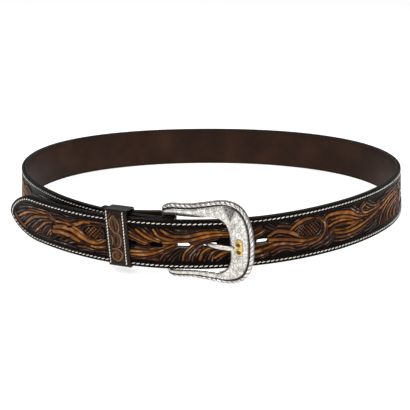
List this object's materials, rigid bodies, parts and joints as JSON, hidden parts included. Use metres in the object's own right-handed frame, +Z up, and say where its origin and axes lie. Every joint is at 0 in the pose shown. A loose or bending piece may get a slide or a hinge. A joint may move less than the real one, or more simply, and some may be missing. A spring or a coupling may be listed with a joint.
{
  "type": "western belt",
  "caption": "Fastened leather belt with a floral tooled face, smooth lining, leather keeper and cast horseshoe buckle with a prong, standing on its lower edge as an open ring.",
  "frame": {"origin": "middle of the belt's box in plan, on the surface that its lower edge rests on", "axes": "+Z up across the strap, +X from the free end towards the belt's right side, -Y out of the buckle's face, +Y towards the centre back"},
  "size_m": [0.349, 0.3188, 0.0647],
  "materials": {
    "tooled_leather": "golden-brown floral relief on a dark ground, black edges, satin",
    "lining_leather": "smooth dark brown, satin",
    "keeper_leather": "tooled muted brown, satin",
    "silver_plate": "engraved bright silver plate with darkened hollows",
    "gilt": "polished gold tone",
    "stud_steel": "plain dull metal"
  },
  "bodies": {
    "root": {"strap_outer": "tooled_leather", "strap_lining": "lining_leather", "keeper_loop": "keeper_leather", "buckle_frame": "silver_plate", "prong": "silver_plate", "gilt_ornament": "gilt", "fold_stud_lower": "stud_steel", "fold_stud_upper": "stud_steel"}
  },
  "joints": []
}
